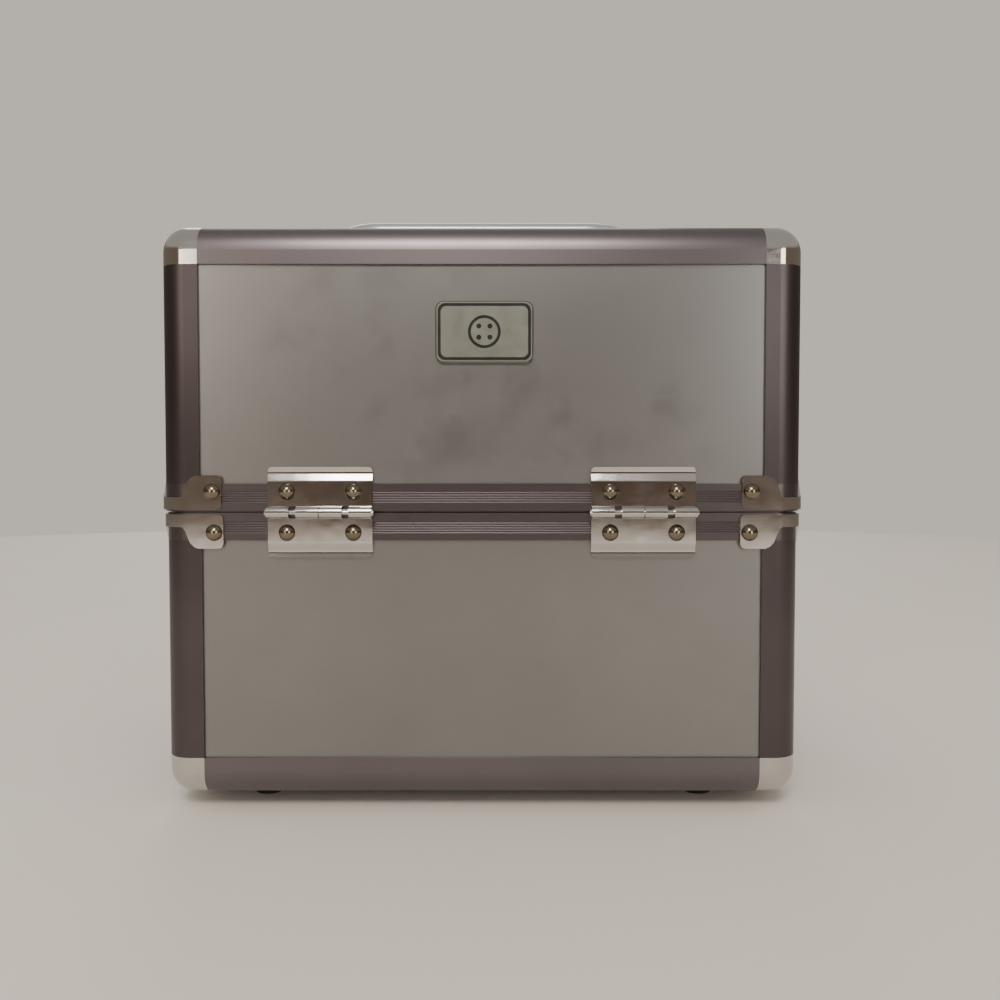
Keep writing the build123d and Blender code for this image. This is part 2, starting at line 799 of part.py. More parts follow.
def block(sign, near, far, centre, size, mode=Mode.ADD):
    """A rectangular piece of a lock, between two distances out from the rim's face."""
    with BuildSketch(lock_plane(sign, near)) as flat:
        with Locations(centre):
            Rectangle(*size)
    extrude(flat.sketch, amount=far - near, mode=mode)


def make_lock_case(name, sign):
    """Die-cast lock case with pockets for the catch's tongue, the bolt and the key barrel."""
    top = -lock_edge_gap
    case_middle = (0, top - lock_height / 2)
    below_rim = lock_height + lock_edge_gap - rim_height
    tongue_far = tongue_stand_off + plate + tongue_gap
    tongue_reach = catch_tongue_length + 1.0
    bolt_room = (bolt_start - catch_tongue_width, bolt_start + bolt_length + 0.4)
    with BuildPart() as case:
        block(sign, 0, plate, (0, top - lock_flange_height / 2), (lock_flange_width, lock_flange_height))
        fillet(case.edges().filter_by(Axis.Y), bracket_corner)
        block(sign, 0, lock_front, case_middle, (lock_width, lock_height))
        fillet(case.faces().sort_by(Axis.Y)[0].edges(), 0.8)
        block(sign, -skin, 0, (0, -rim_height - below_rim / 2), (lock_width, below_rim))
        block(
            sign,
            0,
            tongue_far,
            (0, -tongue_reach / 2),
            (catch_tongue_width + 2 * tongue_gap, tongue_reach),
            Mode.SUBTRACT,
        )
        block(
            sign,
            0,
            bolt_back + bolt_thickness + bolt_gap,
            (sum(bolt_room) / 2, -bolt_drop),
            (bolt_room[1] - bolt_room[0], bolt_height + 2 * bolt_gap),
            Mode.SUBTRACT,
        )
        block(
            sign,
            0,
            lock_front,
            (bolt_start + bolt_length / 2 - bolt_travel / 2, -bolt_drop),
            (neck_length + bolt_travel + 2 * bolt_gap, neck_height + 2 * bolt_gap),
            Mode.SUBTRACT,
        )
        with BuildSketch(lock_plane(sign, -skin)):
            with Locations((0, -key_drop)):
                Circle(key_radius + key_gap)
        extrude(amount=lock_front + skin, mode=Mode.SUBTRACT)
        with BuildSketch(lock_plane(sign, -skin)):
            with Locations((0, -key_drop)):
                Circle(key_radius + key_collar + 0.3)
        extrude(amount=key_collar_thickness + 0.4, mode=Mode.SUBTRACT)
        drill_rivets(base, "front")
    save(case.part, f"lock_case_{name}")


def make_slider(name, sign):
    """Lock slider: a bolt inside the case, a neck through its front and a thumb button outside."""
    centre = (bolt_start + bolt_length / 2, -bolt_drop)
    button_back = lock_front + bolt_gap
    with BuildPart() as slider:
        block(sign, bolt_back, bolt_back + bolt_thickness, centre, (bolt_length, bolt_height))
        block(sign, bolt_back, button_back, centre, (neck_length, neck_height))
        with BuildSketch(lock_plane(sign, button_back)):
            with Locations(centre):
                RectangleRounded(button_length, button_height, 1.0)
        extrude(amount=button_thickness)
        chamfer(slider.faces().sort_by(Axis.Y)[0].edges(), 0.25)
        with BuildSketch(lock_plane(sign, button_back + button_thickness)):
            with Locations(centre):
                with GridLocations(1.2, 1, 4, 1):
                    Rectangle(0.5, button_height - 1.8)
        extrude(amount=-0.3, mode=Mode.SUBTRACT)
    save(slider.part, f"lock_slider_{name}")


def make_key_barrel(name, sign):
    """Key barrel, kept in the case by a collar behind its front."""
    with BuildPart() as barrel:
        with BuildSketch(lock_plane(sign, key_back)):
            with Locations((0, -key_drop)):
                Circle(key_radius + key_collar)
        extrude(amount=key_collar_thickness)
        with BuildSketch(lock_plane(sign, key_back)):
            with Locations((0, -key_drop)):
                Circle(key_radius)
        extrude(amount=lock_front - key_back + 0.5)
        chamfer(barrel.faces().sort_by(Axis.Y)[0].edges(), 0.3)
        with BuildSketch(lock_plane(sign, lock_front + 0.5)):
            with Locations((0, -key_drop)):
                Rectangle(keyway_width, keyway_length)
                Circle(0.9)
        extrude(amount=-keyway_depth, mode=Mode.SUBTRACT)
    save(barrel.part, f"key_barrel_{name}")


def make_catch(name, sign):
    """Catch on the lid: a riveted plate, and a notched tongue that drops into the lock case."""
    low = parting_gap + catch_edge
    tongue_top = low + 3.0
    length = tongue_top + catch_tongue_length
    centre = (0, tongue_top - length / 2)
    near = tongue_stand_off
    with BuildPart() as catch:
        block(sign, 0, plate, (0, low + catch_height / 2), (catch_width, catch_height))
        fillet(catch.edges().filter_by(Axis.Y), bracket_corner)
        block(sign, near, near + plate, centre, (catch_tongue_width, length))
        notch = (catch_tongue_width / 2 - notch_depth / 2, -bolt_drop)
        block(sign, near, near + plate, notch, (notch_depth, notch_height), Mode.SUBTRACT)
        drill_rivets(lid, "front")
    save(catch.part, f"lock_catch_{name}")


# ---------------------------------------------------------------- trays
def tray_shell(low):
    """An open tray with rounded corners and a bead round its upper edge."""
    with BuildSketch(Plane.XY.offset(low)) as flat:
        with Locations((0, tray_mid_y)):
            RectangleRounded(2 * tray_half_width, tray_depth, tray_corner)
    extrude(flat.sketch, amount=tray_height)


def pockets(low, columns, rows):
    """Compartments: rows of (share of the depth, number of pockets) within one tray."""
    room_x = 2 * (tray_half_width - tray_wall)
    start = tray_mid_y - tray_depth / 2 + tray_wall
    room_y = tray_depth - 2 * tray_wall - (len(rows) - 1) * tray_partition
    for share, count in zip(rows, columns):
        deep = room_y * share
        wide = (room_x - (count - 1) * tray_partition) / count
        with BuildSketch(Plane.XY.offset(low + tray_floor)) as flat:
            with Locations((0, start + deep / 2)):
                with GridLocations(wide + tray_partition, 1, count, 1):
                    RectangleRounded(wide, deep, tray_corner - 0.5)
        extrude(flat.sketch, amount=tray_height, mode=Mode.SUBTRACT)
        start += deep + tray_partition


def bore_sides(point, radius):
    """Holes through both side walls of a tray at a pivot, given from the hinge axis in Y and Z."""
    y, z = hinge_y + point[0], z_part + point[1]
    for sign in (-1, 1):
        wall_face = Plane(origin=(sign * tray_half_width, y, z), x_dir=(0, sign, 0), z_dir=(sign, 0, 0))
        with BuildSketch(wall_face) as flat:
            Circle(radius)
        extrude(flat.sketch, amount=-tray_wall, mode=Mode.SUBTRACT)


def tip(link, foot):
    """Where an arm reaches its tray: a tray, its arms and the lid make a parallelogram."""
    return (foot[0] + link[0], foot[1] + link[1])


def make_tray(name, low, link, foot, columns, rows):
    with BuildPart() as tray:
        tray_shell(low)
        pockets(low, columns, rows)
        bore_sides(link, stud_radius + stud_gap)
        bore_sides(tip(link, foot), stud_radius + stud_gap)
    save(tray.part, name)


def stud(section, point, start, length):
    """A round stud along X from a section plane's own offset."""
    with BuildSketch(section.offset(start)) as flat:
        with Locations(point):
            Circle(stud_radius)
    extrude(flat.sketch, amount=length)


def stud_rivet(section, point):
    """Head of a stud that goes through a tray's wall; the plane's own Z points outwards."""
    with BuildSketch(section.offset(tray_half_width - tray_wall - arm_gap)) as flat:
        with Locations(point):
            Circle(stud_head_radius)
    extrude(flat.sketch, amount=-stud_head)


def linkage_plane(sign):
    """Y and Z from the hinge axis, on either side of the case; offsets run outwards from the middle."""
    if sign > 0:
        return Plane(origin=(0, hinge_y, z_part), x_dir=(0, 1, 0), z_dir=(1, 0, 0))
    return Plane(origin=(0, hinge_y, z_part), x_dir=(0, -1, 0), z_dir=(-1, 0, 0))


def on(sign, point):
    return (sign * point[0], point[1])


def make_arm(name, sign, outer_x, link, foot):
    """Flat steel arm: an eye on the base's stud, and its own stud through the tray's wall."""
    section = linkage_plane(sign)
    head = on(sign, tip(link, foot))
    tail = on(sign, foot)
    middle = ((head[0] + tail[0]) / 2, (head[1] + tail[1]) / 2)
    slant = math.degrees(math.atan2(head[1] - tail[1], head[0] - tail[0]))
    stud_inner = tray_half_width - tray_wall - arm_gap
    with BuildPart() as arm:
        with BuildSketch(section.offset(outer_x - arm_thickness)):
            with Locations(Location((middle[0], middle[1], 0), (0, 0, slant))):
                SlotCenterToCenter(math.dist(head, tail), arm_width)
            with Locations(tail):
                Circle(stud_radius + stud_gap, mode=Mode.SUBTRACT)
        extrude(amount=arm_thickness)
        stud(section, head, stud_inner, outer_x - arm_thickness - stud_inner)
        stud_rivet(section, head)
    save(arm.part, name)


def hull_of(points, margin):
    """Plate outline round two pivots."""
    (ax, ay), (bx, by) = points
    slant = math.degrees(math.atan2(by - ay, bx - ax))
    with Locations(Location(((ax + bx) / 2, (ay + by) / 2, 0), (0, 0, slant))):
        SlotCenterToCenter(math.dist(points[0], points[1]), 2 * margin)


def make_base_plate(name, sign):
    """Pivot plate on the base's side wall, with a stud for each arm and a stop for the upper arm."""
    section = linkage_plane(sign)
    feet = [on(sign, upper_arm_foot), on(sign, lower_arm_foot)]
    with BuildPart() as plates:
        with BuildSketch(section.offset(plate_inner_x)):
            hull_of(feet, pivot_plate_margin)
            hull_of([feet[0], on(sign, stop_place())], stop_radius + stop_margin)
        extrude(amount=pivot_plate)
        stud(section, feet[0], outer_arm_x - arm_thickness, arm_thickness + arm_gap)
        stud(section, feet[1], inner_arm_x - arm_thickness, plate_inner_x - inner_arm_x + arm_thickness)
        with BuildSketch(section.offset(outer_arm_x - arm_thickness)):
            with Locations(on(sign, stop_place())):
                Circle(stop_radius)
        extrude(amount=arm_thickness + arm_gap)
    save(plates.part, name)


def stop_place():
    """The stop touches the upper arm's lower edge just past the end of the lid's travel."""
    angle = math.atan2(upper_link[1], upper_link[0]) - math.radians(lid_opening + 1)
    clear = arm_width / 2 + stop_radius
    return (
        upper_arm_foot[0] + stop_along * math.cos(angle) + clear * math.sin(angle),
        upper_arm_foot[1] + stop_along * math.sin(angle) - clear * math.cos(angle),
    )


def make_lid_plate(name, sign):
    """Pivot plate on the lid's side wall, with a headed stud through each tray."""
    section = linkage_plane(sign)
    links = [on(sign, upper_link), on(sign, lower_link)]
    outer = lid.half_width - inside
    inner = tray_half_width - tray_wall - arm_gap
    with BuildPart() as plates:
        with BuildSketch(section.offset(plate_inner_x)):
            hull_of(links, pivot_plate_margin)
            with Locations((0, parting_gap / 2 + 0.5 - 50)):
                Rectangle(300, 100, mode=Mode.SUBTRACT)
        extrude(amount=outer - plate_inner_x)
        for point in links:
            stud(section, point, inner, plate_inner_x - inner)
            stud_rivet(section, point)
    save(plates.part, name)


# ---------------------------------------------------------------- feet
def foot_spots():
    return [(x * foot_x, y * foot_y) for x in (-1, 1) for y in (-1, 1)]


def make_feet():
    """Moulded rubber feet, tapered, with a recess for the rivet's head."""
    with BuildPart() as feet:
        with BuildSketch(Plane.XY.offset(z_bottom + skin)):
            with Locations(*foot_spots()):
                Circle(foot_radius)
        extrude(amount=-(z_bottom + skin), taper=foot_taper)
        with BuildSketch():
            with Locations(*foot_spots()):
                Circle(foot_recess_radius)
        extrude(amount=foot_recess_depth, mode=Mode.SUBTRACT)
        with BuildSketch():
            with Locations(*foot_spots()):
                Circle(foot_rivet_radius + rivet_hole_gap)
        extrude(amount=z_bottom + skin, mode=Mode.SUBTRACT)
    save(feet.part, "feet")


def make_foot_rivets():
    """Rivets up through the feet into the bottom panel."""
    length = z_bottom + skin - foot_recess_depth + panel_thickness - 0.2
    one = rivet(foot_rivet_radius, foot_rivet_head_radius, foot_rivet_head, length)
    with BuildPart() as rivets:
        with Locations(*(Location((x, y, foot_recess_depth), (180, 0, 0)) for x, y in foot_spots())):
            add(one)
    save(rivets.part, "foot_rivets")


for half in (base, lid):
    make_posts(half)
    make_edges(half)
    make_caps(half)
    for side in SIDES:
        make_rim(half, side)
        make_wall_panel(half, side)
    make_end_panel(half, "bottom" if half is base else "top")
    make_lining(half)
    make_brackets(half)
    make_rivets(half)

for name, sign in (("left", -1), ("right", 1)):
    make_leaf(base, name, sign * hinge_x)
    make_leaf(lid, name, sign * hinge_x)
    make_mount(name, sign)
    make_lock_case(name, sign)
    make_catch(name, sign)
    make_slider(name, sign)
    make_key_barrel(name, sign)
    make_base_plate(f"tray_plate_base_{name}", sign)
    make_lid_plate(f"tray_plate_lid_{name}", sign)
    make_arm(f"tray_arm_upper_{name}", sign, outer_arm_x, upper_link, upper_arm_foot)
    make_arm(f"tray_arm_lower_{name}", sign, inner_arm_x, lower_link, lower_arm_foot)

make_pins()
make_badge()
make_handle()
make_mount_rivets()
make_tray("tray_upper", upper_tray_z, upper_link, upper_arm_foot, (1, 3), (0.4, 0.6))
make_tray("tray_lower", lower_tray_z, lower_link, lower_arm_foot, (2, 4), (0.55, 0.45))
make_feet()
make_foot_rivets()
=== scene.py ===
"""Looks for a small aluminium-framed sewing case: a deep base, a deep lid, and two trays that the lid lifts.

Metres, +Z up. The two locks face -Y and the two hinges face +Y.
"""

import math

import bpy
from mathutils import Matrix, Vector


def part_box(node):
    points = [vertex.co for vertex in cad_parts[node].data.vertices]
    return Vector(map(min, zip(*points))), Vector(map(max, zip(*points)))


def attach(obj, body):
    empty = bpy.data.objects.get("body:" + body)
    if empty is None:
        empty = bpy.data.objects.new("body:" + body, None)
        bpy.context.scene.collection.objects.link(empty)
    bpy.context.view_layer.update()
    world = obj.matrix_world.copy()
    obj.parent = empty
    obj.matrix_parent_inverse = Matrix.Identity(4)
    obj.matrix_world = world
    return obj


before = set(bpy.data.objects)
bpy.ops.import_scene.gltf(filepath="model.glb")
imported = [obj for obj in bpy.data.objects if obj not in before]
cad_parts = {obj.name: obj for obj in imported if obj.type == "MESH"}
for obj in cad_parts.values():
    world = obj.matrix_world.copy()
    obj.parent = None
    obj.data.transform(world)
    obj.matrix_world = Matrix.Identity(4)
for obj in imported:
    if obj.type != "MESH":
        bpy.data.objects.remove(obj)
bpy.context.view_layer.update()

MM = 0.001

# ---------------------------------------------------------------- edge mouldings, corner posts and rims
# Aluminium lengths that frame both halves: rounded mouldings along the edges, posts up the corners, and
# fluted rims at the parting line. They are extruded with slots for the panels, and anodised a warm gunmetal.


def colour(hex_code):
    """An sRGB hex colour as the linear values that a shader takes."""
    parts = [int(hex_code[i : i + 2], 16) / 255 for i in (1, 3, 5)]
    return tuple(c / 12.92 if c <= 0.04045 else ((c + 0.055) / 1.055) ** 2.4 for c in parts) + (1.0,)


def add_node(tree, kind, links=None, **settings):
    """Adds a node with its settings, and fills its sockets, by name or by number among those in use.

    A socket takes a value, another node's output, or another node, which stands for its first output in use.
    """
    made = tree.nodes.new(kind)
    for name, value in settings.items():
        setattr(made, name, value)
    in_use = [socket for socket in made.inputs if socket.enabled]
    for key, value in (links or {}).items():
        socket = in_use[key] if isinstance(key, int) else next(s for s in in_use if s.name == key)
        if isinstance(value, bpy.types.Node):
            value = next(output for output in value.outputs if output.enabled)
        if isinstance(value, bpy.types.NodeSocket):
            tree.links.new(value, socket)
        else:
            socket.default_value = value
    return made


def new_material(name):
    """A material, its empty node tree, and the position that its patterns follow."""
    material = bpy.data.materials.new(name)
    material.use_nodes = True
    tree = material.node_tree
    tree.nodes.clear()
    return material, tree, add_node(tree, "ShaderNodeTexCoord").outputs["Object"]


def dress(material, *names):
    """Gives carried-over CAD pieces their finish."""
    for name in names:
        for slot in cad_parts[name].material_slots:
            slot.material = material


def anodised(name, direction, light, dark, smoothest, smear):
    """Extruded aluminium, bead blasted and anodised.

    The blasting leaves a fine even grain that spreads a highlight into a soft band, the die leaves lines
    along the length that smear reflections across it, and handling leaves faint marks.
    """
    material, tree, position = new_material(name)
    grain_size = 0.25 * MM
    grain_depth = 0.01 * MM
    mark_size = 38 * MM
    grain = add_node(
        tree, "ShaderNodeTexNoise", {"Vector": position, "Scale": 1 / grain_size, "Detail": 3.0}
    )
    marks = add_node(
        tree,
        "ShaderNodeTexNoise",
        {"Vector": position, "Scale": 1 / mark_size, "Detail": 4.0, "Roughness": 0.6},
    )
    tint = add_node(
        tree, "ShaderNodeMix", {"Factor": marks, "A": colour(light), "B": colour(dark)}, data_type="RGBA"
    )
    shader = add_node(
        tree,
        "ShaderNodeBsdfPrincipled",
        {
            "Base Color": tint,
            "Metallic": 1.0,
            "Roughness": add_node(
                tree, "ShaderNodeMapRange", {"Value": marks, "To Min": smoothest, "To Max": smoothest + 0.07}
            ),
            "Anisotropic": smear,
            "Anisotropic Rotation": 0.25,
            "Tangent": direction(tree, position),
            "Normal": add_node(
                tree, "ShaderNodeBump", {"Height": grain, "Strength": 0.5, "Distance": grain_depth}
            ),
        },
    )
    add_node(tree, "ShaderNodeOutputMaterial", {"Surface": shader})
    return material


def level_direction(tree, position):
    """Along X on the front and rear lengths, and along Y on the lengths of the two sides."""
    flange_reach = 4 * MM
    side_from = -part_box("lid_panel_left")[1][0] - flange_reach
    x = add_node(tree, "ShaderNodeSeparateXYZ", {"Vector": position}).outputs["X"]
    off_middle = add_node(tree, "ShaderNodeMath", {0: x}, operation="ABSOLUTE")
    on_side = add_node(tree, "ShaderNodeMath", {0: off_middle, 1: side_from}, operation="GREATER_THAN")
    along_x, along_y = (1, 0, 0, 1), (0, 1, 0, 1)
    return add_node(tree, "ShaderNodeMix", {"Factor": on_side, "A": along_x, "B": along_y}, data_type="RGBA")


def upright_direction(tree, position):
    """Along Z on every post."""
    return add_node(tree, "ShaderNodeCombineXYZ", {"Z": 1.0})


edge_gunmetal = anodised(
    "anodised_aluminium_gunmetal_level", level_direction, "#746F72", "#676265", smoothest=0.3, smear=0.6
)
# The posts take the same finish coloured darker than the mouldings: painted shade for the dim room that
# their sides face.
post_gunmetal_painted_shade = anodised(
    "anodised_aluminium_gunmetal_upright_painted_shade", upright_direction, "#5C5658", "#514B4D", smoothest=0.3, smear=0.6
)
# The rims take the same finish coloured darker than the mouldings: painted shade.
rim_gunmetal_painted_shade = anodised(
    "anodised_aluminium_gunmetal_fluted_painted_shade", level_direction, "#645E60", "#575153", smoothest=0.26, smear=0.35
)
for half in ("base", "lid"):
    dress(edge_gunmetal, f"{half}_edge_mouldings")
    dress(post_gunmetal_painted_shade, f"{half}_corner_posts")
    dress(rim_gunmetal_painted_shade, *(f"{half}_rim_{side}" for side in ("front", "rear", "left", "right")))

# ---------------------------------------------------------------- panels
# Fibreboard faced with a thin brushed aluminium foil under a matt lacquer. Each panel slides into the slots
# of the mouldings, posts and rims around it as the frame is put together.


def brushed_foil(name, axis):
    """Aluminium foil brushed along one axis and lacquered.

    The brushing gives fine level strokes that draw a reflection out, and the lacquer has clouds and finger
    marks that change how sharply it reflects.
    """
    material, tree, position = new_material(name)
    # The strokes are drawn coarser than the real ones, which are finer than a hair, so that they show.
    stroke_width = 0.3 * MM
    stroke_length = 25 * MM
    stroke_depth = 0.008 * MM
    cloud_size = 90 * MM
    smear_size = 17 * MM
    stretch = [1.0, 1.0, 1.0]
    stretch[axis] = stroke_width / stroke_length
    stretched = add_node(tree, "ShaderNodeMapping", {"Vector": position, "Scale": stretch})
    strokes = add_node(
        tree, "ShaderNodeTexNoise", {"Vector": stretched, "Scale": 1 / stroke_width, "Detail": 2.0}
    )
    clouds = add_node(
        tree,
        "ShaderNodeTexNoise",
        {"Vector": position, "Scale": 1 / cloud_size, "Detail": 2.0, "Roughness": 0.45},
    )
    smears = add_node(
        tree,
        "ShaderNodeTexNoise",
        {"Vector": position, "Scale": 1 / smear_size, "Detail": 3.0, "Roughness": 0.6},
    )
    clouded = add_node(
        tree,
        "ShaderNodeMix",
        {"Factor": clouds, "A": colour("#939393"), "B": colour("#80807F")},
        data_type="RGBA",
    )
    stroke_strength = add_node(tree, "ShaderNodeMapRange", {"Value": strokes, "To Min": 0.0, "To Max": 0.16})
    streaked = add_node(
        tree,
        "ShaderNodeMix",
        {"Factor": stroke_strength, "A": clouded, "B": colour("#6F6F6E")},
        data_type="RGBA",
    )
    smear_strength = add_node(tree, "ShaderNodeMapRange", {"Value": smears, "To Min": -0.1, "To Max": 0.2})
    smeared = add_node(
        tree,
        "ShaderNodeMix",
        {"Factor": smear_strength, "A": streaked, "B": colour("#747473")},
        data_type="RGBA",
    )
    dullness = add_node(tree, "ShaderNodeMath", {0: clouds, 1: smears}, operation="ADD")
    shader = add_node(
        tree,
        "ShaderNodeBsdfPrincipled",
        {
            "Base Color": smeared,
            "Metallic": 1.0,
            "Roughness": add_node(
                tree, "ShaderNodeMapRange", {"Value": dullness, "To Min": 0.19, "To Max": 0.33}
            ),
            "Anisotropic": 0.3,
            "Anisotropic Rotation": 0.25,
            "Tangent": add_node(tree, "ShaderNodeCombineXYZ", {"XYZ"[axis]: 1.0}),
            "Normal": add_node(
                tree, "ShaderNodeBump", {"Height": strokes, "Strength": 0.2, "Distance": stroke_depth}
            ),
        },
    )
    add_node(tree, "ShaderNodeOutputMaterial", {"Surface": shader})
    return material


foil_across = brushed_foil("brushed_aluminium_foil_on_board", 0)
foil_on_sides = brushed_foil("brushed_aluminium_foil_on_side_board", 1)
for half, end in (("base", "bottom"), ("lid", "top")):
    dress(foil_across, f"{half}_panel_{end}", f"{half}_panel_front", f"{half}_panel_rear")
    dress(foil_on_sides, f"{half}_panel_left", f"{half}_panel_right")

# ---------------------------------------------------------------- linings
# One open box of card in each half, covered in black nylon velour and glued to the panels. A row of stitches
# holds the cloth's turned-over edge a few millimetres from the rim.


def nylon_velour():
    """Woven nylon with a short pile: nearly black, with a faint bloom at the edges and brushed patches."""
    material, tree, position = new_material("nylon_velour_black")
    pile_size = 0.5 * MM
    pile_depth = 0.25 * MM
    brushed_size = 26 * MM
    pile = add_node(tree, "ShaderNodeTexNoise", {"Vector": position, "Scale": 1 / pile_size, "Detail": 2.0})
    brushed = add_node(
        tree,
        "ShaderNodeTexNoise",
        {"Vector": position, "Scale": 1 / brushed_size, "Detail": 3.0, "Roughness": 0.6},
    )
    tone = add_node(
        tree,
        "ShaderNodeMix",
        {"Factor": brushed, "A": colour("#212125"), "B": colour("#35353B")},
        data_type="RGBA",
    )
    shade = add_node(tree, "ShaderNodeMapRange", {"Value": pile, "To Min": 0.0, "To Max": 0.5})
    fibres = add_node(
        tree, "ShaderNodeMix", {"Factor": shade, "A": tone, "B": colour("#141417")}, data_type="RGBA"
    )
    shader = add_node(
        tree,
        "ShaderNodeBsdfPrincipled",
        {
            "Base Color": fibres,
            "Roughness": 0.95,
            "Specular IOR Level": 0.2,
            "Sheen Weight": 0.6,
            "Sheen Roughness": 0.45,
            "Sheen Tint": colour("#6E6E78"),
            "Normal": add_node(
                tree, "ShaderNodeBump", {"Height": pile, "Strength": 0.6, "Distance": pile_depth}
            ),
        },
    )
    add_node(tree, "ShaderNodeOutputMaterial", {"Surface": shader})
    return material


def polyester_thread():
    """Twisted polyester thread, dull, with its strands just lighter and darker."""
    material, tree, position = new_material("polyester_thread_grey")
    strand_size = 0.3 * MM
    strand_depth = 0.05 * MM
    twist = add_node(
        tree, "ShaderNodeTexNoise", {"Vector": position, "Scale": 1 / strand_size, "Detail": 2.0}
    )
    tint = add_node(
        tree,
        "ShaderNodeMix",
        {"Factor": twist, "A": colour("#5C5C61"), "B": colour("#3E3E43")},
        data_type="RGBA",
    )
    shader = add_node(
        tree,
        "ShaderNodeBsdfPrincipled",
        {
            "Base Color": tint,
            "Roughness": 0.7,
            "Normal": add_node(
                tree, "ShaderNodeBump", {"Height": twist, "Strength": 0.5, "Distance": strand_depth}
            ),
        },
    )
    add_node(tree, "ShaderNodeOutputMaterial", {"Surface": shader})
    return material


def stitch_tree(material):
    """Straight stitches along a closed line, one at each pitch."""
    tree = bpy.data.node_groups.new("edge_stitches", "GeometryNodeTree")
    tree.interface.new_socket("Line", in_out="INPUT", socket_type="NodeSocketGeometry")
    inputs = {}
    for name in ("Stitch length", "Pitch", "Thread radius"):
        size = tree.interface.new_socket(name, in_out="INPUT", socket_type="NodeSocketFloat")
        inputs[name] = size.identifier
    tree.interface.new_socket("Stitches", in_out="OUTPUT", socket_type="NodeSocketGeometry")
    given = add_node(tree, "NodeGroupInput").outputs
    curve = add_node(tree, "GeometryNodeMeshToCurve", {"Mesh": given["Line"]})
    points = add_node(
        tree, "GeometryNodeCurveToPoints", {"Curve": curve, "Length": given["Pitch"]}, mode="LENGTH"
    )
    thread = add_node(
        tree,
        "GeometryNodeMeshCylinder",
        {
            "Vertices": 6,
            "Side Segments": 3,
            "Radius": given["Thread radius"],
            "Depth": given["Stitch length"],
        },
    )
    turned = add_node(
        tree,
        "GeometryNodeInstanceOnPoints",
        {"Points": points, "Instance": thread, "Rotation": points.outputs["Rotation"]},
    )
    real = add_node(tree, "GeometryNodeRealizeInstances", {"Geometry": turned})
    shown = add_node(tree, "GeometryNodeSetMaterial", {"Geometry": real, "Material": material})
    add_node(tree, "NodeGroupOutput", {"Stitches": shown})
    return tree, inputs


def rounded_rectangle(low, high, z, radius, steps=8):
    """Points of a level rounded rectangle."""
    corners = ((high[0], high[1]), (low[0], high[1]), (low[0], low[1]), (high[0], low[1]))
    points = []
    for corner, (x, y) in enumerate(corners):
        middle = Vector((x - math.copysign(radius, x), y - math.copysign(radius, y), z))
        for i in range(steps + 1):
            angle = math.radians(90 * (corner + i / steps))
            points.append(middle + Vector((math.cos(angle), math.sin(angle), 0)) * radius)
    return points


def closed_line(points):
    """A mesh object that is one closed line of edges."""
    mesh = bpy.data.meshes.new("line")
    count = len(points)
    mesh.from_pydata([tuple(p) for p in points], [(i, (i + 1) % count) for i in range(count)], [])
    line = bpy.data.objects.new("line", mesh)
    bpy.context.scene.collection.objects.link(line)
    return line


def as_plain_mesh(name, source, tree, values):
    """Runs a node tree on an object, and returns the result as a plain mesh object at the origin."""
    modifier = source.modifiers.new("shape", "NODES")
    modifier.node_group = tree
    for identifier, value in values.items():
        modifier[identifier] = value
    evaluated = source.evaluated_get(bpy.context.evaluated_depsgraph_get())
    mesh = bpy.data.meshes.new_from_object(evaluated)
    source.modifiers.remove(modifier)
    bpy.data.objects.remove(source)
    mesh.name = name
    piece = bpy.data.objects.new(name, mesh)
    bpy.context.scene.collection.objects.link(piece)
    return piece


lining_wall = 1.0 * MM
stitch_sink = 0.05 * MM
stitch_drop = 3.5 * MM
seam_corner = 2.6 * MM
stitches, sockets = stitch_tree(polyester_thread())
stitch_sizes = {
    sockets["Stitch length"]: 2.6 * MM,
    sockets["Pitch"]: 3.6 * MM,
    sockets["Thread radius"]: 0.28 * MM,
}
dress(nylon_velour(), "base_lining", "lid_lining")
for half in ("base", "lid"):
    low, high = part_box(f"{half}_lining")
    inset = lining_wall - stitch_sink
    inner_low = (low[0] + inset, low[1] + inset)
    inner_high = (high[0] - inset, high[1] - inset)
    z = high[2] - stitch_drop if half == "base" else low[2] + stitch_drop
    line = closed_line(rounded_rectangle(inner_low, inner_high, z, seam_corner))
    seam = as_plain_mesh(f"{half}_lining_stitches", line, stitches, stitch_sizes)
    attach(seam, half)
